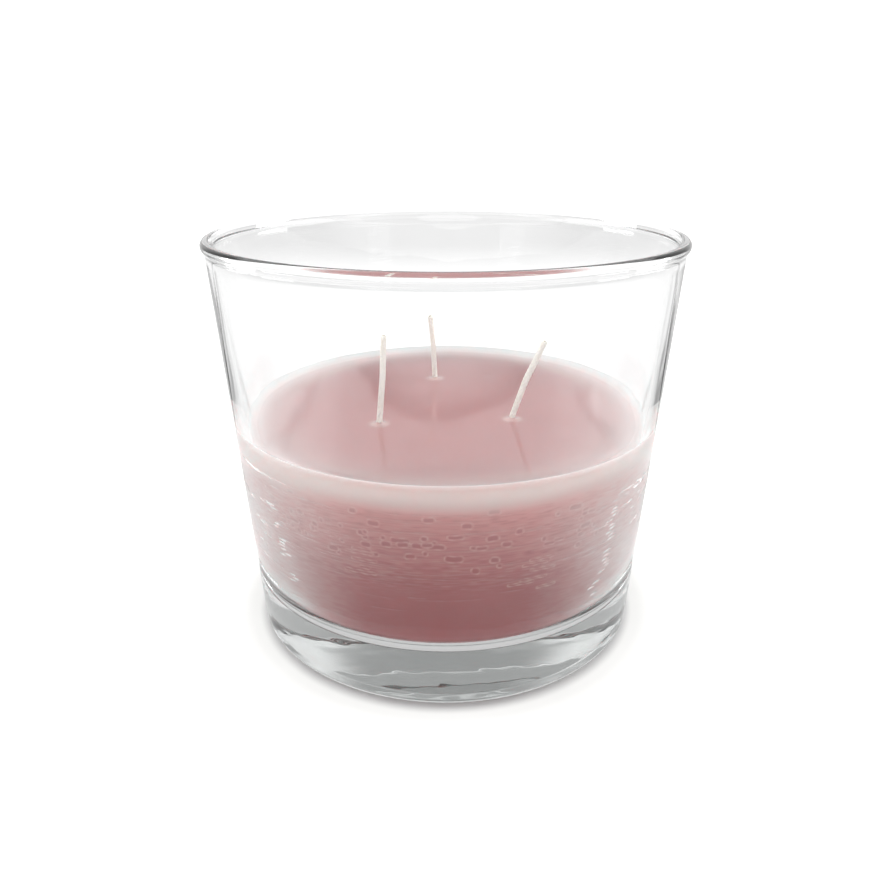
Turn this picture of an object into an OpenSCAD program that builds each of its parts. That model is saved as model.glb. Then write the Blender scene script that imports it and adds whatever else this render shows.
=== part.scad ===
// Three-wick container candle in a tapered clear tumbler.
// Millimetres. +Z is up. The origin is the centre of the foot, on the table.

/* [Glass vessel] */
// Overall height of the glass
glass_h = 110.5; // [95:0.5:125]
// Outer diameter over the rim bead
rim_d = 126; // [118:0.5:136]
// Outer diameter of the tapered wall where it would meet the table
base_d = 111.4; // [104:0.2:116]
// Radius of the fire-polished rim bead
bead_r = 1.5; // [1.2:0.1:1.9]
// How far the bead stands out from the tapered wall
bead_out = 0.7; // [0.4:0.1:1]
// Thickness of the solid glass floor
floor_t = 14; // [11:0.5:18]
// Wall thickness just above the floor
wall_low = 3.6; // [2.8:0.1:4.5]
// Fillet between the floor and the wall, inside
inner_fillet = 7.5; // [2:0.5:10]
// Radius of the rounded heel
heel_r = 3; // [2:0.5:6]
// Angle of the crease where the heel meets the wall, in degrees
heel_edge = 10; // [5:1:40]
// Radius of the hollow under the foot
punt_r = 46; // [36:0.5:48]
// Depth of that hollow
punt_d = 1.4; // [0.6:0.1:3]

/* [Wax] */
// Height of the flat wax surface above the table
wax_level = 61; // [45:0.2:70]
// How far the wax creeps up the glass
creep_h = 2; // [0.4:0.1:2.4]
// How wide that creep is
creep_w = 4; // [3:0.5:8]
// Gap that the cooling wax leaves at the glass
wax_gap = 0.05; // [0.03:0.01:0.3]
// Height of the small wax cone round each wick
cone_h = 0.5; // [0.2:0.1:0.7]
// Radius of that cone on the wax surface
cone_r = 2.4; // [1.6:0.1:4]

/* [Wicks] */
// Radius of the circle that the wicks stand on
wick_circle_r = 23; // [18:0.2:26]
// Diameter of the braided wick
wick_d = 1.8; // [1.5:0.1:2.4]
// Diameter of the paper core in the braid
core_d = 0.7; // [0.5:0.1:0.9]
// Bare length of the left wick
free_left = 23.8; // [8:0.2:30]
// Bare length of the back wick
free_back = 20; // [8:0.2:30]
// Bare length of the right wick
free_right = 22.6; // [8:0.2:30]

/* [Sustainers] */
// Diameter of the sustainer's foot disc
clip_d = 20; // [14:0.5:24]
// Thickness of the tinned sheet
clip_t = 0.3; // [0.2:0.05:0.5]
// Height of the crimped neck, from the foot's underside
neck_h = 6; // [4:0.5:10]
// Diameter of the hot-melt dot that holds the foot down
dot_d = 15; // [8:0.5:18]
// Thickness of that dot
dot_t = 0.8; // [0.4:0.1:1.5]

/* [Hidden] */
$fn = 128;
fit = 0.02;                 // room round the pieces that the wax is cast on
wick_r = wick_d / 2;
core_r = core_d / 2;
rim_r = rim_d / 2;
base_r = base_d / 2;

// tapers of the outside and the inside of the wall, in mm per mm of height
out_s = (rim_r - bead_out - base_r) / glass_h;
function out_r(z) = base_r + out_s * z;
in_low = out_r(floor_t) - wall_low;
in_top = rim_r - 2 * bead_r;
in_s = (in_top - in_low) / (glass_h - bead_r - floor_t);
function in_r(z) = in_low + in_s * (z - floor_t);

// a run of points along an arc
function arc(cx, cz, r, a0, a1, n) =
    [for (i = [0:n]) let (a = a0 + (a1 - a0) * i / n) [cx + r * cos(a), cz + r * sin(a)]];

// heel: an arc from the table up to the crease in the outside of the wall
heel_z = heel_r * (1 - sin(heel_edge));
heel_x = out_r(heel_z) - heel_r * cos(heel_edge);
// inner fillet, tangent to the floor and to the inside of the wall
fil_a = atan(in_s);
fil_x = in_low + in_s * inner_fillet - inner_fillet / cos(fil_a);
// arc of the hollow under the foot
punt_R = (punt_r * punt_r + punt_d * punt_d) / (2 * punt_d);
punt_a = asin(punt_r / punt_R);

// contact line of the wax on the glass, and the radius of its creep
line_z = wax_level + creep_h;
line_r = in_r(line_z) - wax_gap;
creep_R = (creep_w * creep_w + creep_h * creep_h) / (2 * creep_h);
creep_a = asin(creep_w / creep_R);

// where each wick stands, how far it leans and which way: left, back, right
wick_a = [217.2, 97.2, 331.7];
wick_off = [-0.4, 3.3, -2.1];
lean_low = [5.5, 6, 18.3];
lean_high = [3.2, 10, 23.5];
way_low = [0, 240, 0];
way_high = [0, 235, 0];
function tilt(l, w) = [sin(l) * cos(w), sin(l) * sin(w), cos(l)];
free_len = [free_left, free_back, free_right];
function wick_xy(i) = (wick_circle_r + wick_off[i]) * [cos(wick_a[i]), sin(wick_a[i])];
dot_z = floor_t;
clip_z = dot_z + dot_t;
bend_z = wax_level + cone_h + 0.4;

module glass_profile() {
    polygon(concat(
        // hollow under the foot, from the middle out to the bearing ring
        [for (i = [0:10]) let (a = punt_a * i / 10)
            [punt_R * sin(a), i == 10 ? 0 : punt_d - punt_R * (1 - cos(a))]],
        // heel
        arc(heel_x, heel_r, heel_r, -90, -heel_edge, 8),
        // outside of the wall, up to the bead
        [[out_r(glass_h - 2.6 * bead_r), glass_h - 2.6 * bead_r]],
        arc(rim_r - bead_r, glass_h - bead_r, bead_r, -50, 180, 23),
        // inside fillet, then the floor
        arc(fil_x, floor_t + inner_fillet, inner_fillet, -fil_a, -90, 8),
        [[0, floor_t]]));
}

module wax_profile() {
    polygon(concat(
        [[0, floor_t]],
        arc(fil_x - wax_gap, floor_t + inner_fillet, inner_fillet, -90, -fil_a, 8),
        [[line_r, line_z]],
        // concave creep down to the flat surface
        [for (i = [1:8]) let (a = creep_a * (1 - i / 8))
            [line_r - creep_w + creep_R * sin(a), wax_level + creep_R * (1 - cos(a))]],
        [[0, wax_level]]));
}

// a wick's run: straight up through the wax, then two leaning lengths, each from a slightly swollen kink
module wick_run(i, r, z0, extra) {
    p = wick_xy(i);
    k = 0.2 * r;
    half = free_len[i] / 2;
    translate([p[0], p[1], z0]) cylinder(r = r, h = bend_z - k - z0);
    translate([p[0], p[1], bend_z]) {
        sphere(r = 1.07 * r);
        rotate([0, lean_low[i], way_low[i]]) translate([0, 0, k]) cylinder(r = r, h = half - 2 * k);
        translate(half * tilt(lean_low[i], way_low[i])) {
            sphere(r = 1.07 * r);
            rotate([0, lean_high[i], way_high[i]]) translate([0, 0, k]) cylinder(r = r, h = half - k + extra);
        }
    }
}

module wick(i) {
    color([0.93, 0.91, 0.85])
    difference() {
        wick_run(i, wick_r, clip_z, 0);
        wick_run(i, core_r, clip_z - 1, 1);
    }
}

module wick_core(i) {
    color([0.97, 0.96, 0.93])
    wick_run(i, core_r - fit / 2, clip_z, 0);
}

// the foot disc with its drawn neck, as a turned section about the wick
module clip_profile(grow) {
    b = wick_r + fit;
    n = b + clip_t;
    polygon(concat(
        [[grow > 0 ? 0 : b, -grow], [clip_d / 2 + grow, -grow], [clip_d / 2 + grow, clip_t + grow]],
        [for (i = [0:5]) let (a = 270 - 90 * i / 5)
            [n + 1 + (1 - grow) * cos(a), clip_t + 1 + (1 - grow) * sin(a)]],
        [[n + grow, neck_h + grow], [grow > 0 ? 0 : b, neck_h + grow]]));
}

module sustainer(i) {
    p = wick_xy(i);
    color([0.78, 0.79, 0.80])
    translate([p[0], p[1], clip_z])
    difference() {
        rotate_extrude() clip_profile(0);
        // crimp marks that grip the wick
        for (s = [-1, 1]) translate([s * (wick_r + fit + clip_t + 0.38), 0, neck_h - 2])
            rotate([90, 0, 0]) cylinder(r = 0.5, h = 4, center = true);
    }
}

module dot_profile(grow) {
    polygon([[0, -grow], [dot_d / 2 - 0.2 + grow, -grow], [dot_d / 2 + grow, 0.25],
             [dot_d / 2 - 0.1 + grow, dot_t - 0.15], [dot_d / 2 - 0.4 + grow, dot_t + grow], [0, dot_t + grow]]);
}

module glue_dot(i) {
    p = wick_xy(i);
    color([0.93, 0.92, 0.86])
    translate([p[0], p[1], dot_z]) rotate_extrude() dot_profile(0);
}

module glass_vessel() {
    color([0.86, 0.92, 0.90, 0.35])
    rotate_extrude() glass_profile();
}

module wax_fill() {
    color([0.80, 0.62, 0.62])
    difference() {
        union() {
            rotate_extrude() wax_profile();
            for (i = [0:2]) translate([wick_xy(i)[0], wick_xy(i)[1], wax_level - 0.2])
                cylinder(r1 = cone_r, r2 = wick_r + 0.1, h = cone_h + 0.2);
        }
        // the room that the glue dots, the sustainers and the wicks take up in the cast wax
        for (i = [0:2]) translate([wick_xy(i)[0], wick_xy(i)[1], 0]) {
            translate([0, 0, dot_z]) rotate_extrude() dot_profile(fit);
            translate([0, 0, clip_z]) rotate_extrude() clip_profile(fit);
            translate([0, 0, clip_z]) cylinder(r = wick_r + fit, h = glass_h);
        }
    }
}

module wick_left() { wick(0); }
module wick_back() { wick(1); }
module wick_right() { wick(2); }
module wick_core_left() { wick_core(0); }
module wick_core_back() { wick_core(1); }
module wick_core_right() { wick_core(2); }
module wick_sustainer_left() { sustainer(0); }
module wick_sustainer_back() { sustainer(1); }
module wick_sustainer_right() { sustainer(2); }
module wick_glue_dot_left() { glue_dot(0); }
module wick_glue_dot_back() { glue_dot(1); }
module wick_glue_dot_right() { glue_dot(2); }

glass_vessel();
wax_fill();
wick_left();
wick_back();
wick_right();
wick_core_left();
wick_core_back();
wick_core_right();
wick_sustainer_left();
wick_sustainer_back();
wick_sustainer_right();
wick_glue_dot_left();
wick_glue_dot_back();
wick_glue_dot_right();
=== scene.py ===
import bpy
import math
import numpy as np
from mathutils import Matrix, Vector

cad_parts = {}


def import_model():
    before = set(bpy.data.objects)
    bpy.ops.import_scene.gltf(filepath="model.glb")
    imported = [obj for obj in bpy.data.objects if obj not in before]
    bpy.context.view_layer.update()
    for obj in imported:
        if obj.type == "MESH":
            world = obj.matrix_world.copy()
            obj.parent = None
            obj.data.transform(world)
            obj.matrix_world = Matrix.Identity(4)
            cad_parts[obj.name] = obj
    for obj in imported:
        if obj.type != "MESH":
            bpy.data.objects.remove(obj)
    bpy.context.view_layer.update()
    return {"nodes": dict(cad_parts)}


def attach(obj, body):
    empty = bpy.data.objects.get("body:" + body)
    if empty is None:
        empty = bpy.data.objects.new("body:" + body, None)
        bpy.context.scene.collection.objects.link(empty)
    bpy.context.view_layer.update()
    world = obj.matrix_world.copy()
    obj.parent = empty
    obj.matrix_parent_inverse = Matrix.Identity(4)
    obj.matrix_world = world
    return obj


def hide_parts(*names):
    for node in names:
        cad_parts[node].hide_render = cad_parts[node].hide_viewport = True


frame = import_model()
nodes = frame["nodes"]
MM = 0.001

# ------------------------------------------------------------------ dimensions, mm (the same as the construction)
H, RIM_R, BASE_R = 110.5, 63.0, 55.7
BEAD, BEAD_OUT = 1.5, 0.7
FLOOR, WALL_LOW, FIL = 14.0, 3.6, 7.5
HEEL, HEEL_EDGE = 3.0, 10.0
PUNT_R, PUNT_D = 46.0, 1.4
LEVEL, CREEP_H = 61.0, 2.0
CONE_H, CONE_R, WICK_R = 0.5, 2.4, 0.9
CLIP_Z = FLOOR + 0.8
BEND_Z = LEVEL + CONE_H + 0.4

OUT_S = (RIM_R - BEAD_OUT - BASE_R) / H


def out_r(z):
    return BASE_R + OUT_S * z


IN_LOW = out_r(FLOOR) - WALL_LOW
IN_S = (RIM_R - 2 * BEAD - IN_LOW) / (H - BEAD - FLOOR)


def in_r(z):
    return IN_LOW + IN_S * (z - FLOOR)


def polar(r, deg):
    return np.array([r * math.cos(math.radians(deg)), r * math.sin(math.radians(deg))])


def tilt(lean, way):
    l, w = math.radians(lean), math.radians(way)
    return np.array([math.sin(l) * math.cos(w), math.sin(l) * math.sin(w), math.cos(l)])


WICKS = {
    "left": dict(xy=polar(22.6, 217.2), low=tilt(5.5, 0), high=tilt(3.2, 0), free=23.8),
    "back": dict(xy=polar(26.3, 97.2), low=tilt(6, 240), high=tilt(10, 235), free=20.0),
    "right": dict(xy=polar(20.9, 331.7), low=tilt(18.3, 0), high=tilt(23.5, 0), free=22.6),
}


# ------------------------------------------------------------------ mesh helpers
def link(ob):
    bpy.context.scene.collection.objects.link(ob)
    return ob


def mesh_object(name, verts, faces, smooth=True):
    me = bpy.data.meshes.new(name)
    me.from_pydata([tuple(v) for v in np.asarray(verts) * MM], [], [tuple(f) for f in faces])
    me.validate()
    me.update()
    if smooth:
        me.polygons.foreach_set("use_smooth", [True] * len(me.polygons))
    return link(bpy.data.objects.new(name, me))


def smoothstep(a, b, x):
    t = np.clip((np.asarray(x, float) - a) / (b - a), 0.0, 1.0)
    return t * t * (3 - 2 * t)


def grid_faces(rows, cols, start=0, flip=False):
    """Quads of a rows x cols grid that closes on itself along cols."""
    f = []
    for i in range(rows - 1):
        for j in range(cols):
            a, b = start + i * cols + j, start + i * cols + (j + 1) % cols
            c, d = start + (i + 1) * cols + (j + 1) % cols, start + (i + 1) * cols + j
            f.append((a, d, c, b) if flip else (a, b, c, d))
    return f


def lathe(name, prof, n, shape=None):
    """Turns a profile (r, z), which starts and ends on the axis, about Z. shape(r, z, theta) may move the rings a little."""
    prof = np.asarray(prof, float)
    th = np.arange(n) * 2 * math.pi / n
    body = prof[1:-1]
    R = np.repeat(body[:, :1], n, 1)
    Z = np.repeat(body[:, 1:], n, 1)
    T = np.repeat(th[None, :], len(body), 0)
    if shape:
        R, Z = shape(R, Z, T)
    V = np.stack([R * np.cos(T), R * np.sin(T), Z], -1).reshape(-1, 3)
    faces = grid_faces(len(body), n)
    V = np.vstack([V, [0, 0, prof[0, 1]], [0, 0, prof[-1, 1]]])
    first, last = len(V) - 2, len(V) - 1
    top = (len(body) - 1) * n
    for j in range(n):
        faces.append((first, (j + 1) % n, j))
        faces.append((last, top + j, top + (j + 1) % n))
    return mesh_object(name, V, faces)


def arc(cx, cz, r, a0, a1, n):
    a = np.radians(np.linspace(a0, a1, n + 1))
    return np.c_[cx + r * np.cos(a), cz + r * np.sin(a)]


def line(p, q, n):
    t = np.linspace(0, 1, n + 1)[:, None]
    return np.asarray(p)[None] * (1 - t) + np.asarray(q)[None] * t


# ------------------------------------------------------------------ node helpers
def material(name):
    m = bpy.data.materials.new(name)
    m.use_nodes = True
    nt = m.node_tree
    nt.nodes.clear()
    out = nt.nodes.new("ShaderNodeOutputMaterial")
    p = nt.nodes.new("ShaderNodeBsdfPrincipled")
    nt.links.new(p.outputs["BSDF"], out.inputs["Surface"])
    return m, nt, p, out


def N(nt, kind, **inputs):
    n = nt.nodes.new(kind)
    for k, v in inputs.items():
        n.inputs[k.replace("_", " ")].default_value = v
    return n


def noise(nt, vec, scale, detail=3.0, rough=0.5):
    n = N(nt, "ShaderNodeTexNoise", Scale=scale, Detail=detail, Roughness=rough)
    nt.links.new(vec, n.inputs["Vector"])
    return n.outputs["Fac"]


def ramp(nt, fac, stops):
    n = nt.nodes.new("ShaderNodeValToRGB")
    e = n.color_ramp.elements
    while len(e) < len(stops):
        e.new(0.5)
    for el, (pos, col) in zip(e, stops):
        el.position = pos
        el.color = (*col, 1) if len(col) == 3 else col
    nt.links.new(fac, n.inputs["Fac"])
    return n.outputs["Color"]


def bump(nt, height, strength, distance, normal=None):
    n = N(nt, "ShaderNodeBump", Strength=strength, Distance=distance)
    nt.links.new(height, n.inputs["Height"])
    if normal is not None:
        nt.links.new(normal, n.inputs["Normal"])
    return n.outputs["Normal"]


def mapped(nt, coord, scale):
    n = nt.nodes.new("ShaderNodeMapping")
    n.inputs["Scale"].default_value = scale
    nt.links.new(coord, n.inputs["Vector"])
    return n.outputs["Vector"]


def put(ob, mat):
    ob.data.materials.clear()
    ob.data.materials.append(mat)


# ------------------------------------------------------------------ materials
def glass_material():
    m, nt, p, out = material("clear_glass")
    p.inputs["Base Color"].default_value = (1, 1, 1, 1)
    p.inputs["IOR"].default_value = 1.5
    p.inputs["Transmission Weight"].default_value = 1.0
    co = nt.nodes.new("ShaderNodeTexCoord").outputs["Object"]
    # faint smears in the polish, and the slow waves of pressed glass
    smear = noise(nt, mapped(nt, co, (1, 1, 0.5)), 60.0, 4.0)
    r = nt.nodes.new("ShaderNodeMapRange")
    r.inputs["From Min"].default_value = 0.45
    r.inputs["From Max"].default_value = 0.75
    r.inputs["To Min"].default_value = 0.0
    r.inputs["To Max"].default_value = 0.012
    nt.links.new(smear, r.inputs["Value"])
    nt.links.new(r.outputs["Result"], p.inputs["Roughness"])
    wave = noise(nt, mapped(nt, co, (1, 1, 0.35)), 55.0, 2.0)
    nt.links.new(bump(nt, wave, 0.25, 0.0004), p.inputs["Normal"])
    v = nt.nodes.new("ShaderNodeVolumeAbsorption")
    v.inputs["Color"].default_value = (0.312, 0.333, 0.326, 1)
    v.inputs["Density"].default_value = 12.0
    nt.links.new(v.outputs["Volume"], out.inputs["Volume"])
    return m


def wax_material():
    m, nt, p, out = material("pink_wax")
    co = nt.nodes.new("ShaderNodeTexCoord").outputs["Object"]
    sep = nt.nodes.new("ShaderNodeSeparateXYZ")
    nt.links.new(co, sep.inputs[0])
    h = nt.nodes.new("ShaderNodeMapRange")
    h.inputs["From Min"].default_value = 0.014
    h.inputs["From Max"].default_value = 0.064
    nt.links.new(sep.outputs["Z"], h.inputs["Value"])
    # painted light and shade by height: the side is paler near the top and darker and more saturated low down, for
    # light from above that fades deeper in the wax; the very top and the top surface are darker again
    body = ramp(nt, h.outputs["Result"], [(0.15, (0.47, 0.185, 0.192)), (0.45, (0.52, 0.235, 0.24)), (0.70, (0.68, 0.365, 0.362)),
                                          (0.85, (0.79, 0.465, 0.455)), (0.925, (0.50, 0.255, 0.253))])
    mottle = noise(nt, co, 45.0, 5.0, 0.55)
    tint = ramp(nt, mottle, [(0.30, (0.94, 0.93, 0.93)), (0.70, (1.0, 1.0, 1.0))])
    mul = nt.nodes.new("ShaderNodeMix")
    mul.data_type = "RGBA"
    mul.blend_type = "MULTIPLY"
    mul.inputs["Factor"].default_value = 1.0
    nt.links.new(body, mul.inputs[6])
    nt.links.new(tint, mul.inputs[7])
    # masks on the mesh, mixed in turn: a darker tone for painted shade inside the pockets and along the pour lines, and
    # in random streaks; a paler tone for painted highlights on the lips of the marks, the painted glow of the band
    # under the top edge, random streaks and the paler collars round the wicks; frosting where it creeps up the glass,
    # with painted sheen at both sides and painted glow at the top edge; white for painted glints on the cracks, painted
    # glow near the glass and a painted highlight on the crest
    tone = mul.outputs[2]
    for name, colour in (("deep", (0.30, 0.10, 0.108, 1)), ("pale", (0.80, 0.68, 0.65, 1)), ("frost", (0.80, 0.787, 0.77, 1)),
                         ("white", (0.99, 0.99, 0.98, 1))):
        at = nt.nodes.new("ShaderNodeAttribute")
        at.attribute_name = name
        mix = nt.nodes.new("ShaderNodeMix")
        mix.data_type = "RGBA"
        nt.links.new(at.outputs["Fac"], mix.inputs["Factor"])
        nt.links.new(tone, mix.inputs[6])
        mix.inputs[7].default_value = colour
        tone = mix.outputs[2]
    nt.links.new(tone, p.inputs["Base Color"])
    p.inputs["IOR"].default_value = 1.44
    p.inputs["Subsurface Weight"].default_value = 1.0
    p.inputs["Subsurface Radius"].default_value = (1.0, 0.62, 0.60)
    p.inputs["Subsurface Scale"].default_value = 0.006
    # polished on top, dull at the side
    bloom = noise(nt, co, 130.0, 3.0)
    r = nt.nodes.new("ShaderNodeMapRange")
    r.inputs["To Min"].default_value = 0.02
    r.inputs["To Max"].default_value = 0.05
    nt.links.new(bloom, r.inputs["Value"])
    at = nt.nodes.new("ShaderNodeAttribute")
    at.attribute_name = "dull"
    dull = nt.nodes.new("ShaderNodeMath")
    dull.operation = "MULTIPLY_ADD"
    dull.inputs[1].default_value = 0.45
    nt.links.new(at.outputs["Fac"], dull.inputs[0])
    nt.links.new(r.outputs["Result"], dull.inputs[2])
    nt.links.new(dull.outputs[0], p.inputs["Roughness"])
    fine = noise(nt, co, 420.0, 3.0)
    nt.links.new(bump(nt, fine, 0.03, 0.0001), p.inputs["Normal"])
    return m


def wick_material():
    m, nt, p, out = material("cotton_braid")
    co = nt.nodes.new("ShaderNodeTexCoord").outputs["Object"]
    fibre = noise(nt, mapped(nt, co, (1, 1, 0.2)), 5200.0, 4.0)
    waxed = noise(nt, co, 500.0, 3.0)
    mixn = nt.nodes.new("ShaderNodeMath")
    mixn.operation = "MULTIPLY_ADD"
    mixn.inputs[1].default_value = 0.5
    nt.links.new(fibre, mixn.inputs[0])
    half = nt.nodes.new("ShaderNodeMath")
    half.operation = "MULTIPLY"
    half.inputs[1].default_value = 0.5
    nt.links.new(waxed, half.inputs[0])
    nt.links.new(half.outputs[0], mixn.inputs[2])
    col = ramp(nt, mixn.outputs[0], [(0.30, (0.96, 0.92, 0.80)), (0.62, (1.0, 0.98, 0.89))])
    nt.links.new(col, p.inputs["Base Color"])
    p.inputs["Roughness"].default_value = 0.6
    p.inputs["Subsurface Weight"].default_value = 0.35
    p.inputs["Subsurface Radius"].default_value = (1.0, 0.9, 0.7)
    p.inputs["Subsurface Scale"].default_value = 0.0008
    p.inputs["Sheen Weight"].default_value = 0.15
    nt.links.new(bump(nt, fibre, 0.5, 0.00008), p.inputs["Normal"])
    return m


def paper_material():
    m, nt, p, out = material("paper_core")
    co = nt.nodes.new("ShaderNodeTexCoord").outputs["Object"]
    t = noise(nt, co, 4000.0, 4.0)
    nt.links.new(ramp(nt, t, [(0.3, (0.50, 0.46, 0.38)), (0.7, (0.66, 0.62, 0.53))]), p.inputs["Base Color"])
    p.inputs["Roughness"].default_value = 0.85
    nt.links.new(bump(nt, t, 0.4, 0.00005), p.inputs["Normal"])
    return m


def tin_material():
    m, nt, p, out = material("tinned_steel")
    co = nt.nodes.new("ShaderNodeTexCoord").outputs["Object"]
    t = noise(nt, co, 700.0, 4.0)
    nt.links.new(ramp(nt, t, [(0.3, (0.56, 0.57, 0.58)), (0.7, (0.70, 0.71, 0.72))]), p.inputs["Base Color"])
    p.inputs["Metallic"].default_value = 1.0
    r = nt.nodes.new("ShaderNodeMapRange")
    r.inputs["To Min"].default_value = 0.25
    r.inputs["To Max"].default_value = 0.45
    nt.links.new(t, r.inputs["Value"])
    nt.links.new(r.outputs["Result"], p.inputs["Roughness"])
    return m


def glue_material():
    m, nt, p, out = material("hot_melt_glue")
    co = nt.nodes.new("ShaderNodeTexCoord").outputs["Object"]
    t = noise(nt, co, 300.0, 3.0)
    nt.links.new(ramp(nt, t, [(0.3, (0.72, 0.69, 0.58)), (0.7, (0.80, 0.78, 0.68))]), p.inputs["Base Color"])
    p.inputs["Roughness"].default_value = 0.35
    p.inputs["Subsurface Weight"].default_value = 0.5
    p.inputs["Subsurface Scale"].default_value = 0.002
    nt.links.new(bump(nt, t, 0.3, 0.0002), p.inputs["Normal"])
    return m


GLASS, WAX, COTTON = glass_material(), wax_material(), wick_material()
PAPER, TIN, GLUE = paper_material(), tin_material(), glue_material()


# ------------------------------------------------------------------ glass vessel
def glass_profile():
    e = math.radians(HEEL_EDGE)
    hz = HEEL * (1 - math.sin(e))
    hx = out_r(hz) - HEEL * math.cos(e)
    fa = math.degrees(math.atan(IN_S))
    fx = IN_LOW + IN_S * FIL - FIL / math.cos(math.atan(IN_S))
    pr = np.linspace(0, PUNT_R, 60)
    punt_R = (PUNT_R ** 2 + PUNT_D ** 2) / (2 * PUNT_D)
    punt = np.c_[pr, PUNT_D - (punt_R - np.sqrt(punt_R ** 2 - pr ** 2))]
    punt[-1, 1] = 0.0
    ring = line((PUNT_R + 0.8, 0), (hx - 0.3, 0), 5)
    heel = arc(hx, HEEL, HEEL, -90, -HEEL_EDGE, 18)
    z1 = H - 2.6 * BEAD
    # the crease over the heel is tight: two close rings
    wall = np.array([(out_r(z), z) for z in np.r_[hz + 0.06, hz + 0.2, np.linspace(hz + 0.6, z1, 60)]])
    bead = arc(RIM_R - 0.02 - BEAD, H - BEAD, BEAD, -50, 180, 40)
    # a soft hollow where the wall runs into the bead
    a, b = wall[-1], bead[0]
    mid = np.array([(a + b) / 2 + np.array([-0.06, 0.02])])
    zi0, zi1 = H - BEAD, FLOOR + FIL - FIL * math.sin(math.radians(fa))
    inner = np.array([(in_r(z), z) for z in np.linspace(zi0, zi1, 70)[1:-1]])
    fillet = arc(fx, FLOOR + FIL, FIL, -fa, -90, 26)
    floor = line((fx - 0.8, FLOOR), (2.0, FLOOR), 30)
    return np.vstack([punt, ring, heel, wall, mid, bead, inner, fillet, floor, [[0, FLOOR]]])


def inner_wobble(Z, T):
    """Slow, shallow unevenness of the inside of the wall."""
    w = (0.5 * np.sin(3 * T + 0.7 + Z * 0.02) + 0.3 * np.sin(5 * T + 2.1 - Z * 0.03) + 0.2 * np.sin(8 * T + 4.0 + Z * 0.05))
    return 0.05 * w * smoothstep(FLOOR, FLOOR + 8, Z) * (1 - smoothstep(H - 16, H - 4, Z))


def glass_shape(R, Z, T):
    """Unevenness of pressed glass. The foot only goes upwards."""
    inside = (R < out_r(Z) - 1.2) & (Z > FLOOR + 0.5) & (Z < H - 3)
    R2 = np.where(inside, R + inner_wobble(Z, T), R)
    # chill ripples on the hollow under the foot
    under = (Z < 2.0) & (R < PUNT_R - 0.5)
    X, Y = R * np.cos(T), R * np.sin(T)
    rip = (np.sin(X * 0.33 + 1.3 * np.sin(Y * 0.17 + 0.5)) + np.sin(Y * 0.41 + 1.1 * np.sin(X * 0.21 + 2.0))
           + 0.6 * np.sin(X * 0.74 - Y * 0.55 + 1.0) + 0.4 * np.sin(X * 0.9 + Y * 1.1))
    Z2 = np.where(under, Z + 0.015 * X * (1 - (R / PUNT_R) ** 2) + RIPPLE * (3.0 + rip) * smoothstep(PUNT_R - 0.5, PUNT_R - 6, R), Z)
    return R2, Z2


RIPPLE = 0.006
glass = lathe("glass_vessel_skin", glass_profile(), 360, glass_shape)
put(glass, GLASS)
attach(glass, "root")
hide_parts("glass_vessel")


# ------------------------------------------------------------------ wax
WAX_N = 1200
GAP = 0.06
LAMBDA = 1.9            # how quickly the creep at the glass dies away


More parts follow.
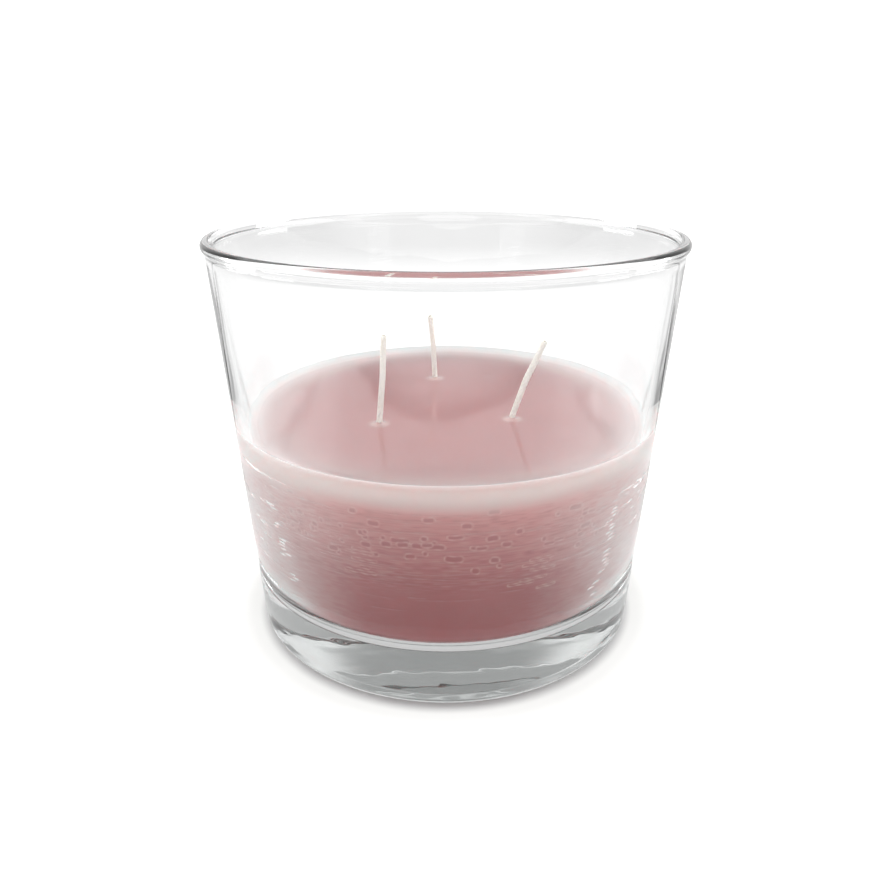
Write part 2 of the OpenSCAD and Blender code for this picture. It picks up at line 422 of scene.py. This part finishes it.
def side_marks(Z, T):
    """Marks on the side of the cast wax: fine pour lines, and small flat pockets with a lip where it has let go of the
    glass.
    Gives the offset from the nominal side in mm, how pale the wax is (painted highlights on the lips among it), how
    deep in tone (painted shade in the pockets and along the lines), how frosted (with painted sheen at both sides) and
    how white (painted glints on the cracks)."""
    g = np.random.default_rng(20)
    off = np.zeros(Z.shape)
    pale = np.zeros(Z.shape)
    deep = np.zeros(Z.shape)
    white = np.zeros(Z.shape)
    r0 = 55.3

    def wrap(a):
        return (a + math.pi) % (2 * math.pi) - math.pi

    def window(t0, half, zc, reach):
        cols = np.where(np.abs(wrap(T[0] - t0)) < half)[0]
        rows = np.where(np.abs(Z[:, 0] - zc) < reach)[0]
        return np.ix_(rows, cols) if len(cols) and len(rows) else None

    # pour lines: (mm along the side from the front, height, half length, depth, width, how pale)
    lines = []
    for i in range(430):
        zc = g.uniform(27, 58) if i % 4 == 0 else g.normal(46.5, 5.5)
        lines.append((g.uniform(-174, 174), zc, math.exp(g.uniform(0.7, 2.9)), g.uniform(0.02, 0.07), g.uniform(0.09, 0.15), g.uniform(0.08, 0.26)))
    for s0, zc, half, depth, sig, light in lines:
        t0 = wrap(-math.pi / 2 + s0 / r0)
        half = half / r0
        amp, k, ph = g.uniform(0.02, 0.16), g.integers(3, 12), g.uniform(0, 6.28)
        slope = g.normal(0, 0.008) * r0
        if not 24 < zc < 59:
            continue
        ix = window(t0, half, zc, 2.0)
        if ix is None:
            continue
        dt = wrap(T[ix] - t0)
        win = smoothstep(half, half * 0.55, np.abs(dt)) * (0.75 + 0.25 * np.sin(dt * r0 * 1.3 + ph))
        d = Z[ix] - (zc + amp * np.sin(k * dt + ph) + slope * dt)
        off[ix] -= depth * win * np.exp(-0.5 * (d / sig) ** 2)
        # painted highlight just under each line and painted shade just over it
        pale[ix] = np.maximum(pale[ix], light * win * np.exp(-0.5 * ((d + sig) / sig) ** 2))
        deep[ix] = np.maximum(deep[ix], 0.8 * light * win * np.exp(-0.5 * ((d - 0.6 * sig) / sig) ** 2))

    # frosting with painted sheen at both sides, a grey-white veil that grows away from the front, in fine level
    # streaks, more of it low down
    along = wrap(T + math.pi / 2) * r0
    away = np.abs(along)
    grain = g.uniform(-1, 1, (Z.shape[0], 160))
    grain = 0.25 * np.roll(grain, 1, 0) + 0.5 * grain + 0.25 * np.roll(grain, -1, 0)
    at = (T[0] / (2 * math.pi) * 160) % 160
    i = at.astype(int)
    f = smoothstep(0, 1, at - i)
    streak = grain[:, i] * (1 - f) + grain[:, (i + 1) % 160] * f
    frost = np.interp(away, *FROST_AND_PAINTED_SHEEN)
    frost = frost * (1 + 0.12 * np.sin(along * 0.13 + Z * 0.21 + 0.7)) + 0.5 * streak * frost * (1 - frost)
    frost += 0.45 * smoothstep(28, 21, Z) * smoothstep(30, 46, away) * smoothstep(120, 90, away)
    frost = np.clip(frost, 0, 0.92)
    busy = smoothstep(32, 38, Z) * smoothstep(58, 54, Z)
    pale = np.maximum(pale, 0.24 * np.clip(streak, 0, 1) * busy)
    deep = np.maximum(deep, 0.30 * np.clip(-streak, 0, 1) * busy)

    # stacks of short cracks at both sides, painted white and frosted as glints of a lamp on their edges: (mm along the
    # side, heights)
    for s0, zs in ((-47.4, (48.3, 47.5, 43.3, 42.4)), (-45.8, (39.1, 38.1, 37.2, 36.3, 35.3, 34.4)), (-43.0, (29.6, 28.7, 27.8)),
                   (45.5, (48.2, 47.3, 46.2, 45.1, 43.6, 42.6, 41.5, 40.5, 39.5)), (45.0, (36.0, 34.8, 33.6, 32.5, 31.4, 30.2)),
                   (42.2, (27.6, 26.6)), (40.8, (24.2,)), (-131.0, (44.0, 43.0, 38.5, 37.6, 33.0)), (128.0, (41.0, 40.0, 36.0))):
        for zc in zs:
            ln, wd = g.uniform(2.4, 4.4), g.uniform(0.48, 0.58)
            t0 = wrap(-math.pi / 2 + (s0 + g.normal(0, 0.7)) / r0)
            ix = window(t0, ln / r0, zc, 1.0)
            if ix is None:
                continue
            a = wrap(T[ix] - t0) * r0
            d = Z[ix] - zc - 0.06 * a
            m = np.clip(1 - np.hypot(a / (0.5 * ln), d / (0.5 * wd)) ** 2, 0, 1)
            off[ix] -= 0.28 * m
            frost[ix] = np.maximum(frost[ix], m)
            white[ix] = np.maximum(white[ix], m)

    # pockets: (mm along the side from the front, height, length, width, tilt)
    pockets = []
    for i in range(250):
        pockets.append((g.uniform(-174, 174), float(np.clip(g.normal(47.5, 4.3), 36, 57.5)), float(np.clip(g.gamma(2.6, 0.85), 1.2, 4.8)),
                        g.uniform(0.9, 1.7), g.normal(0, 0.04)))
    # groups of long narrow ones, left and right of the front and at the back
    for s0, z0 in ((-21.5, 41.5), (20.5, 36.5), (-82.0, 44.0), (98.0, 40.0), (165.0, 43.0)):
        for i in range(6):
            pockets.append((s0 + g.normal(0, 4.0), z0 + 1.7 * i - 3.5 + g.normal(0, 0.3), g.uniform(2.5, 8.5), g.uniform(0.45, 0.75), g.normal(0, 0.03)))
    for s0, zc, ln, wd, tl in pockets:
        ix = window(wrap(-math.pi / 2 + s0 / r0), (ln * 0.5 + 1.0) / r0, zc, wd * 0.5 + 1.0)
        if ix is None:
            continue
        a = wrap(T[ix] - wrap(-math.pi / 2 + s0 / r0)) * r0
        b = Z[ix] - zc
        u = a * math.cos(tl) + b * math.sin(tl)
        v = -a * math.sin(tl) + b * math.cos(tl) + 0.06 * np.sin(u * 1.9 + s0)
        rad = 0.42 * wd
        qx, qy = np.abs(u) - (ln / 2 - rad), np.abs(v) - (wd / 2 - rad)
        sd = np.hypot(np.maximum(qx, 0), np.maximum(qy, 0)) + np.minimum(np.maximum(qx, qy), 0) - rad
        inner = smoothstep(0.04, -0.16, sd)
        off[ix] = off[ix] * (1 - inner) - 0.02 * inner
        off[ix] += 0.03 * np.exp(-0.5 * ((sd - 0.12) / 0.10) ** 2)
        # painted highlight round the lip of each pocket and painted shade inside it
        pale[ix] = np.maximum(pale[ix] * (1 - inner), (0.32 + 0.20 * np.sin(u * 2.3 + v * 3.1 + zc)) * np.exp(-0.5 * ((sd - 0.05) / 0.13) ** 2))
        deep[ix] = np.maximum(deep[ix] * (1 - smoothstep(0.3, 0.0, sd)), 0.30 * smoothstep(-0.10, -0.45, sd))
    return np.minimum(off, 0.03), np.clip(pale, 0, 1), np.clip(deep, 0, 1), frost, white


def wax_top(R, T):
    """Height of the wax surface at a plan position."""
    rl = in_r(LEVEL + CREEP_H) - GAP
    z = LEVEL + CREEP_H * np.exp(-np.maximum(rl - R, 0) / LAMBDA)
    X, Y = R * np.cos(T), R * np.sin(T)
    for w in WICKS.values():
        q = np.hypot(X - w["xy"][0], Y - w["xy"][1])
        z = z + CONE_H * np.clip(1 - (q - WICK_R) / (CONE_R - WICK_R), 0, 1) ** 2
    # pits
    for px, py, pr, pd in ((13.1, 30.7, 0.7, 0.35), (14.0, 29.5, 0.55, 0.3), (48.5, 31.2, 0.7, 0.3), (-48.8, 11.0, 0.6, 0.3)):
        q = np.hypot(X - px, Y - py)
        z = z - pd * np.exp(-(q / pr) ** 2)
    z = z + 0.04 * np.sin(X * 0.09 + 1.0) * np.sin(Y * 0.11 + 0.4)
    return z


def top_frost(R, T):
    """Frosting and painted glow of the surface near the glass, on the thin creep, more at the back than in front."""
    rl = in_r(LEVEL + CREEP_H) - GAP
    return (0.72 + 0.09 * np.sin(T)) * np.exp(-np.maximum(rl - R, 0) / (6.0 - np.sin(T)))


def top_pale(R, T):
    """Paleness of the collars round the wicks."""
    p = np.zeros(R.shape)
    X, Y = R * np.cos(T), R * np.sin(T)
    for w in WICKS.values():
        q = np.hypot(X - w["xy"][0], Y - w["xy"][1])
        p = np.maximum(p, 0.45 * np.exp(-0.5 * ((q - 1.3) / 1.0) ** 2))
    return p


def build_wax():
    n = WAX_N
    th = np.arange(n) * 2 * math.pi / n
    z_line = LEVEL + CREEP_H
    rl = in_r(z_line) - GAP
    fa = math.atan(IN_S)
    fx = IN_LOW + IN_S * FIL - FIL / math.cos(fa)
    zb = FLOOR + GAP
    bottom = line((2.0, zb), (fx, zb), 14)
    fillet = arc(fx, FLOOR + FIL, FIL - GAP, -90, -math.degrees(fa), 16)[1:]
    z0 = fillet[-1, 1]
    rows = []
    marks = {"pale": [], "deep": [], "frost": [], "white": [], "dull": []}

    def ring(r, z, **at):
        rows.append((r, z))
        for k, v in marks.items():
            v.append(np.zeros(n) + at.get(k, 0.0))

    # low down the wax is frosted nearly all round, with the painted sheen of the sides
    deg = np.degrees(th)
    low = np.interp(np.abs((deg - 90) % 360 - 180) * math.radians(55.3), *FROST_AND_PAINTED_SHEEN)
    low = np.maximum(low, 0.9 * smoothstep(8, 20, deg) * smoothstep(104, 96, deg) + 0.9 * smoothstep(136, 146, deg) * smoothstep(178, 166, deg))
    for r, z in np.vstack([bottom, fillet]):
        ring(np.full(n, r), np.full(n, z), frost=low, dull=1.0)
    zs = np.concatenate([np.linspace(z0, 26, 24)[1:], np.arange(26.16, 59, 0.16), np.linspace(59, z_line, 14)])
    Zs, Ts = np.meshgrid(zs, th, indexing="ij")
    off, side_p, side_d, side_f, side_w = side_marks(Zs, Ts)
    # the wax clings to the glass from a little over the floor upwards, except in the marks
    cling = 22.9 + 0.5 * np.sin(3 * th + 0.4) + 0.35 * np.sin(11 * th + 1.0) + 0.25 * np.sin(29 * th)
    for i, z in enumerate(zs):
        hold = smoothstep(cling - 0.6, cling + 0.6, z)
        # painted light: a pale, frosted and whitened band under the top edge of the side, for light from the top
        # shining out through the wax
        wave = 0.5 * np.sin(2 * th + 0.6) + 0.35 * np.sin(5 * th + 2.0)
        band = smoothstep(BAND[0], BAND[1], z + wave) * (BAND[2] - (BAND[2] - BAND[3]) * smoothstep(BAND[1], z_line, z))
        top_fade = 1 - 0.85 * float(smoothstep(60.6, 62.6, z))
        ring(in_r(z) + inner_wobble(Zs[i], th) * hold - GAP + (GAP + CLING) * hold + off[i], np.full(n, z),
             pale=np.maximum(side_p[i], band), deep=side_d[i], frost=np.maximum(side_f[i], 0.45 * band * top_fade), white=np.maximum(side_w[i], 0.22 * band * top_fade),
             dull=1 - smoothstep(0.02, 0.2, side_w[i]))
    crest = len(rows) - 1
    # painted highlight: a short bright line on the crest at the left front, where a lamp glints on the creep
    lit = smoothstep(5.6, 4.4, np.abs(np.degrees(th) - 231))
    marks["white"][crest] = np.maximum(marks["white"][crest], lit)
    rl = rl + GAP + CLING
    # top, from the contact line to the middle
    rr = np.concatenate([rl - 6.0 * np.linspace(0, 1, 20)[1:] ** 1.6, np.linspace(rl - 6.0, 29.5, 14)[1:],
                         np.linspace(29.5, 17.5, 44)[1:], np.linspace(17.5, 1.5, 12)[1:]])
    # painted glow: the top is whitened near the glass, most at the back and least in front, and the crest highlight
    # runs on into it
    for r in rr:
        R = np.full(n, r)
        edge = smoothstep(4.0, 2.0, rl - r) * smoothstep(0.09, 0.14, np.abs((th - math.radians(222) + math.pi) % (2 * math.pi) - math.pi))
        ring(R, wax_top(R, th), pale=top_pale(R, th), frost=top_frost(R, th), white=np.maximum((0.10 + 0.60 * smoothstep(-0.7, 0.1, np.sin(th))) * np.exp(-(rl - R) / 4.0), lit * np.exp(-((rl - R) / 0.7) ** 2)),
             dull=np.maximum(0.6 * edge, 0.2 * smoothstep(12.0, 5.0, rl - r)))
    V = np.vstack([np.c_[r * np.cos(th), r * np.sin(th), z] for r, z in rows])
    faces = grid_faces(len(rows), n)
    V = np.vstack([V, [0, 0, zb], [0, 0, float(wax_top(np.zeros(1), np.zeros(1))[0])]])
    a, b = len(V) - 2, len(V) - 1
    top = (len(rows) - 1) * n
    for j in range(n):
        faces.append((a, (j + 1) % n, j))
        faces.append((b, top + j, top + (j + 1) % n))
    ob = mesh_object("wax_fill_cast", V, faces)
    for name, values in marks.items():
        at = ob.data.attributes.new(name, "FLOAT", "POINT")
        at.data.foreach_set("value", np.r_[np.concatenate(values), 0.0, 0.0].astype(np.float32))
    # the contact line is a sharp edge
    ev = np.zeros(2 * len(ob.data.edges), np.int32)
    ob.data.edges.foreach_get("vertices", ev)
    on = (ev >= crest * n) & (ev < (crest + 1) * n)
    sharp = ob.data.attributes.new("sharp_edge", "BOOLEAN", "EDGE")
    sharp.data.foreach_set("value", on[0::2] & on[1::2])
    return ob


BAND = (54.0, 59.5, 0.88, 0.66)   # where the painted pale band of light under the top edge begins and is full, how pale it is there and at the contact line
CLING = 0.03                      # how far the wax is let into the glass it clings to
FROST_AND_PAINTED_SHEEN = ((0, 20, 31, 43, 54, 66, 77, 95, 120, 140, 174), (0, 0.05, 0.24, 0.48, 0.62, 0.64, 0.60, 0.48, 0.28, 0.13, 0.05))
wax = build_wax()
put(wax, WAX)
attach(wax, "root")
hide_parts("wax_fill")


# ------------------------------------------------------------------ wicks
def wick_path(w, step_in=1.2, step_out=0.2):
    """Centre line of a wick: straight up through the wax, then an even curve close to the two leaning lengths."""
    p0 = np.array([*w["xy"], CLIP_Z])
    p1 = np.array([*w["xy"], BEND_Z])
    half = w["free"] / 2
    p2 = p1 + half * w["low"]
    p3 = p2 + half * w["high"]
    pts = [p0 + (p1 - p0) * t for t in np.linspace(0, 1, int((BEND_Z - CLIP_Z) / step_in) + 1)]
    n = int(w["free"] / step_out)
    for i in range(1, n + 1):
        s = i / n * w["free"]
        p = p1 + s * w["low"] if s <= half else p2 + (s - half) * w["high"]
        # ease the kinks: blend towards a quadratic near the middle and the foot
        k = math.exp(-((s - half) / 2.6) ** 2)
        p = p + 0.35 * k * (half * 0.08) * (w["high"] - w["low"])
        pts.append(p)
    return np.array(pts)


def frames_along(P):
    T = np.gradient(P, axis=0)
    T /= np.linalg.norm(T, axis=1)[:, None]
    A = np.cross(T, [0.0, 1.0, 0.0])
    A /= np.linalg.norm(A, axis=1)[:, None]
    B = np.cross(T, A)
    return T, A, B


def build_wick(name, w, seed):
    r = np.random.default_rng(seed)
    P = wick_path(w)
    T, A, B = frames_along(P)
    seg = np.r_[0, np.cumsum(np.linalg.norm(np.diff(P, axis=0), axis=1))]
    L = seg[-1]
    om = 2 * math.pi / 5.2
    V, F = [], []
    sides = 10
    ca = np.arange(sides) * 2 * math.pi / sides
    for k in range(8):
        way = 1 if k < 4 else -1
        ph = (k % 4) * math.pi / 2 + (0 if way > 0 else math.pi / 4)
        flare = r.uniform(0.0, 0.16)
        short = r.uniform(0.0, 0.35)
        keep = seg <= L - short
        s = seg[keep]
        ang = way * om * s + ph
        tip = smoothstep(L - 1.6, L, s)
        rad = 0.50 + way * 0.10 * np.sin(4 * om * s) + flare * tip * 0.6
        C = P[keep] + rad[:, None] * (np.cos(ang)[:, None] * A[keep] + np.sin(ang)[:, None] * B[keep])
        # strand section: wide along the surface, thin across it
        out = np.cos(ang)[:, None] * A[keep] + np.sin(ang)[:, None] * B[keep]
        tan = np.gradient(C, axis=0)
        tan /= np.linalg.norm(tan, axis=1)[:, None]
        side = np.cross(tan, out)
        side /= np.linalg.norm(side, axis=1)[:, None]
        wide, thin = 0.37, 0.26
        base = len(V)
        for i in range(len(s)):
            sc = 1.0 - 0.35 * smoothstep(L - short - 0.35, L - short, s[i])
            for a in ca:
                V.append(C[i] + sc * (wide * math.cos(a) * side[i] + thin * math.sin(a) * out[i]))
        F += grid_faces(len(s), sides, base, flip=True)
        c0, c1 = len(V), len(V) + 1
        V.append(C[0]); V.append(C[-1] + 0.05 * tan[-1])
        for j in range(sides):
            F.append((c0, base + j, base + (j + 1) % sides))
            last = base + (len(s) - 1) * sides
            F.append((c1, last + (j + 1) % sides, last + j))
    return mesh_object(name, V, F)


def build_dot(name, xy, seed):
    """Hot-melt dot squeezed flat between the glass floor and a sustainer, with an uneven rim."""
    g = np.random.default_rng(seed)
    ph = g.uniform(0, 6.28, 6)

    def shape(R, Z, T):
        k = 1 + 0.05 * np.sin(2 * T + ph[0]) + 0.035 * np.sin(3 * T + ph[1]) + 0.02 * np.sin(5 * T + ph[2])
        Z = Z + 0.02 * (R / 7.0) * np.sin(4 * T + ph[3])
        return R * (k - 0.105), Z

    lo, hi = FLOOR + 0.04, FLOOR + 0.78
    prof = np.vstack([[[0, lo]], line((1.0, lo), (6.9, lo), 8), arc(7.1, (lo + hi) / 2, 0.36, -90, 90, 10), line((6.9, hi), (1.0, hi), 8), [[0, hi]]])
    ob = lathe(name, prof, 96, shape)
    ob.data.transform(Matrix.Translation((xy[0] * MM, xy[1] * MM, 0)))
    return ob


for i, (side, w) in enumerate(WICKS.items()):
    ob = build_wick("wick_" + side + "_braid", w, 11 + i)
    put(ob, COTTON)
    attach(ob, "root")
    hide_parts("wick_" + side)
    put(nodes["wick_core_" + side], PAPER)
    put(nodes["wick_sustainer_" + side], TIN)
    dot = build_dot("wick_glue_dot_" + side + "_blob", w["xy"], 31 + i)
    put(dot, GLUE)
    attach(dot, "root")
    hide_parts("wick_glue_dot_" + side)


# ------------------------------------------------------------------ stage and light
def floor_disc():
    n, rings = 96, [0.0, 0.1, 0.3, 0.8, 2.0, 5.0]
    V, F = [(0, 0, 0)], []
    for r in rings[1:]:
        for j in range(n):
            V.append((r * math.cos(2 * math.pi * j / n), r * math.sin(2 * math.pi * j / n), 0))
    for j in range(n):
        F.append((0, 1 + j, 1 + (j + 1) % n))
    for i in range(len(rings) - 2):
        for j in range(n):
            a, b = 1 + i * n + j, 1 + i * n + (j + 1) % n
            F.append((a, a + n, b + n, b))
    me = bpy.data.meshes.new("floor")
    me.from_pydata(V, [], F)
    me.update()
    ob = link(bpy.data.objects.new("floor", me))
    ob.location.z = -0.0003
    return ob


class Sums:
    """Short way to write sums in a node tree."""

    def __init__(self, nt):
        self.nt = nt

    def op(self, kind, a, b=0.0):
        n = self.nt.nodes.new("ShaderNodeMath")
        n.operation = kind
        for i, v in enumerate((a, b)):
            if isinstance(v, (int, float)):
                n.inputs[i].default_value = v
            else:
                self.nt.links.new(v, n.inputs[i])
        return n.outputs[0]

    def step(self, src, a, b, lo=0.0, hi=1.0):
        """Smooth step of src from a to b. a may be the larger one."""
        n = self.nt.nodes.new("ShaderNodeMapRange")
        n.interpolation_type = "SMOOTHSTEP"
        if a > b:
            a, b, lo, hi = b, a, hi, lo
        for k, v in zip(("From Min", "From Max", "To Min", "To Max"), (a, b, lo, hi)):
            n.inputs[k].default_value = v
        self.nt.links.new(src, n.inputs["Value"])
        return n.outputs["Result"]

    def mul(self, *a):
        r = a[0]
        for b in a[1:]:
            r = self.op("MULTIPLY", r, b)
        return r

    def add(self, *a):
        r = a[0]
        for b in a[1:]:
            r = self.op("ADD", r, b)
        return r

    def blend(self, f, a, b):
        """a where f is 0, b where f is 1."""
        return self.add(a, self.mul(f, self.op("SUBTRACT", b, a)))


# light levels of the studio, by where the glass and the wax see them
SKY = dict(side=0.55, gap=0.9, ring=0.0, between=0.62, beside=0.95, arc=0.55, lobe=1.4, over=0.85, over_side=1.1, spot=3.0, plain=0.9,
           high_back=0.85, high_side=2.0, flank=3.5, glint=20.0, top=0.85, front=2.5, front_high=1.2)
TABLE = dict(back_edge=0.95, back_near=2.2, back=1.25, back_far=0.82, mid_near=1.75, heel=1.5, streak=0.3, mid=1.02, side_near=0.75, side=1.2,
             front_edge=0.6, front_near=0.12, front=0.9, under=0.75, seen=0.60, glow=0.33, glow_far=0.50, sheen_back=0.6, sheen=1.4, sheen_front=0.4)


def floor_material():
    m, nt, p, out = material("floor_white")
    nt.nodes.remove(p)
    co = nt.nodes.new("ShaderNodeTexCoord").outputs["Object"]
    sep = nt.nodes.new("ShaderNodeSeparateXYZ")
    nt.links.new(co, sep.inputs[0])
    ln = nt.nodes.new("ShaderNodeVectorMath")
    ln.operation = "LENGTH"
    nt.links.new(co, ln.inputs[0])
    k = Sums(nt)
    az = k.mul(k.op("ABSOLUTE", k.op("ARCTAN2", sep.outputs["X"], sep.outputs["Y"])), 57.2958)
    far = ln.outputs["Value"]
    back = k.blend(k.step(far, 0.074, 0.086), TABLE["back_edge"], TABLE["back_near"])
    back = k.blend(k.step(far, 0.13, 0.20), back, TABLE["back"])
    back = k.blend(k.step(far, 0.40, 0.75), back, TABLE["back_far"])
    mid = k.blend(k.step(far, 0.130, 0.170), TABLE["mid_near"], TABLE["mid"])
    side = k.blend(k.step(far, 0.090, 0.120), TABLE["side_near"], TABLE["side"])
    front = k.blend(k.step(far, 0.068, 0.080), TABLE["front_edge"], TABLE["front_near"])
    front = k.blend(k.step(far, 0.090, 0.150), front, TABLE["front"])
    level = k.blend(k.step(az, 18, 34), back, mid)
    # close behind the foot: what the heel in front shows
    level = k.blend(k.mul(k.step(far, 0.0704, 0.0692), k.step(far, 0.0672, 0.0680), k.step(az, 80, 60)), level, TABLE["heel"])
    streak = k.mul(k.step(az, 45.0, 46.0), k.step(az, 49.0, 48.0), k.step(far, 0.17, 0.19), k.step(far, 0.60, 0.50))
    level = k.blend(streak, level, TABLE["streak"])
    level = k.blend(k.step(az, 68, 84), level, side)
    level = k.blend(k.step(az, 112, 150), level, front)
    level = k.blend(k.step(far, 0.0585, 0.056), level, TABLE["under"])
    # the outside of the glass mirrors a bright table at either side
    lp = nt.nodes.new("ShaderNodeLightPath")
    outside = k.mul(k.op("GREATER_THAN", lp.outputs["Glossy Depth"], 0.5), k.op("LESS_THAN", lp.outputs["Transmission Depth"], 0.5))
    sheen = k.blend(k.step(az, 30, 95), TABLE["sheen_back"], TABLE["sheen"])
    sheen = k.blend(k.step(az, 105, 160), sheen, TABLE["sheen_front"])
    level = k.blend(k.mul(outside, k.step(far, 0.068, 0.080), k.step(far, 0.165, 0.125)), level, sheen)
    em = nt.nodes.new("ShaderNodeEmission")
    nt.links.new(level, em.inputs["Strength"])
    seen = nt.nodes.new("ShaderNodeBsdfDiffuse")
    grain = k.step(noise(nt, co, 30.0, 3.0), 0.3, 0.7, 0.98, 1.0)
    nt.links.new(k.mul(grain, TABLE["seen"]), seen.inputs["Color"])
    # painted light: to the camera the floor also glows, not at all at the foot and more further out, which keeps the
    # shadow at the foot narrow
    glow = nt.nodes.new("ShaderNodeEmission")
    nt.links.new(k.add(k.mul(k.step(far, 0.0548, 0.0582), TABLE["glow"]), k.mul(k.step(far, 0.0590, 0.0740), TABLE["glow_far"])), glow.inputs["Strength"])
    glow.inputs["Color"].default_value = (1, 1, 0.96, 1)
    lit = nt.nodes.new("ShaderNodeAddShader")
    nt.links.new(seen.outputs["BSDF"], lit.inputs[0])
    nt.links.new(glow.outputs["Emission"], lit.inputs[1])
    mix = nt.nodes.new("ShaderNodeMixShader")
    nt.links.new(lp.outputs["Is Camera Ray"], mix.inputs[0])
    nt.links.new(em.outputs["Emission"], mix.inputs[1])
    nt.links.new(lit.outputs["Shader"], mix.inputs[2])
    nt.links.new(mix.outputs["Shader"], out.inputs["Surface"])
    return m


fl = floor_disc()
put(fl, floor_material())


def world():
    w = bpy.data.worlds.new("studio")
    bpy.context.scene.world = w
    w.use_nodes = True
    nt = w.node_tree
    nt.nodes.clear()
    out = nt.nodes.new("ShaderNodeOutputWorld")
    bg = nt.nodes.new("ShaderNodeBackground")
    nt.links.new(bg.outputs["Background"], out.inputs["Surface"])
    tc = nt.nodes.new("ShaderNodeTexCoord")
    sep = nt.nodes.new("ShaderNodeSeparateXYZ")
    nt.links.new(tc.outputs["Generated"], sep.inputs[0])
    k = Sums(nt)
    az = k.mul(k.op("ABSOLUTE", k.op("ARCTAN2", sep.outputs["X"], sep.outputs["Y"])), 57.2958)
    el = k.mul(k.op("ARCSINE", sep.outputs["Z"]), 57.2958)
    # behind: a dark round patch in the middle and a bright one at either side, as the wax surface mirrors them
    def reach(a0, e0, wide, high):
        u = k.mul(k.op("SUBTRACT", az, a0), 1 / wide)
        v = k.mul(k.op("SUBTRACT", el, e0), 1 / high)
        return k.op("SQRT", k.add(k.mul(u, u), k.mul(v, v)))

    over = k.blend(k.step(az, 4, 11), SKY["over"], SKY["over_side"])
    back = k.blend(k.step(el, 19.5, 22.0), k.blend(k.step(az, 5, 10), SKY["between"], SKY["beside"]), over)
    back = k.blend(k.step(el, 7, 3), back, 1.0)
    d = reach(19.4, 12, 9.2, 9.2)
    back = k.blend(k.step(d, 1.10, 1.04), back, SKY["arc"])
    back = k.blend(k.step(d, 1.00, 0.92), back, SKY["lobe"])
    d = reach(0, 14, 8.3, 6.7)
    back = k.blend(k.step(d, 1.08, 0.99), back, k.blend(k.op("MINIMUM", k.op("POWER", d, 2.5), 1.0), SKY["gap"], SKY["ring"]))
    # a low bright spot on the left, which the creep of the wax catches
    way = k.mul(k.op("ARCTAN2", sep.outputs["X"], sep.outputs["Y"]), 57.2958)
    spot = k.mul(k.step(way, -10.0, -9.0), k.step(way, -4.0, -5.0), k.step(el, 5.0, 4.0))
    back = k.blend(spot, back, SKY["spot"])
    # none of that shows straight through the glass
    lp = nt.nodes.new("ShaderNodeLightPath")
    mirrored = k.op("GREATER_THAN", lp.outputs["Glossy Depth"], 0.5)
    back = k.blend(mirrored, SKY["plain"], back)
    level = k.blend(k.step(az, 30, 46), back, SKY["side"])
    glint = k.mul(mirrored, k.step(az, 60, 62), k.step(az, 85, 83), k.step(el, 3, 4), k.step(el, 17, 16))
    level = k.blend(glint, level, SKY["glint"])
    high = k.step(el, 28, 34)
    level = k.blend(high, level, k.blend(k.mul(k.step(az, 14, 32), k.step(az, 95, 75)), SKY["high_back"], SKY["high_side"]))
    front = k.step(az, 100, 135)
    level = k.blend(front, level, k.blend(k.step(el, 22, 50), SKY["front"], SKY["front_high"]))
    flank = k.mul(k.step(az, 60, 72), k.step(az, 112, 98), k.step(el, 10, 18), k.step(el, 62, 50))
    level = k.blend(flank, level, SKY["flank"])
    level = k.blend(k.mul(k.step(el, 46, 62), k.op("SUBTRACT", 1.0, flank)), level, SKY["top"])
    seen = k.op("MAXIMUM", k.mul(lp.outputs["Is Camera Ray"], 1.3), level)
    nt.links.new(seen, bg.inputs["Strength"])
    bg.inputs["Color"].default_value = (1, 1, 1, 1)


world()

# ------------------------------------------------------------------ camera
cam = bpy.data.cameras.new("camera")
cam.sensor_width = 36.0
cam.sensor_fit = "HORIZONTAL"
cam.lens = 31.49
cam.clip_start = 0.005
cam.shift_x = 0.0025
co = link(bpy.data.objects.new("camera", cam))
co.location = (0, -0.2140, 0.1373)
co.rotation_euler = (math.pi / 2 - 0.395, 0, 0)
sc = bpy.context.scene
sc.camera = co

sc.view_settings.view_transform = "Standard"
sc.view_settings.look = "None"
sc.view_settings.exposure = 0.0
sc.cycles.max_bounces = 20
sc.cycles.transmission_bounces = 20
sc.cycles.glossy_bounces = 8
sc.cycles.diffuse_bounces = 5
sc.cycles.caustics_refractive = True
sc.cycles.caustics_reflective = True
sc.cycles.sample_clamp_indirect = 8.0

bpy.context.view_layer.update()
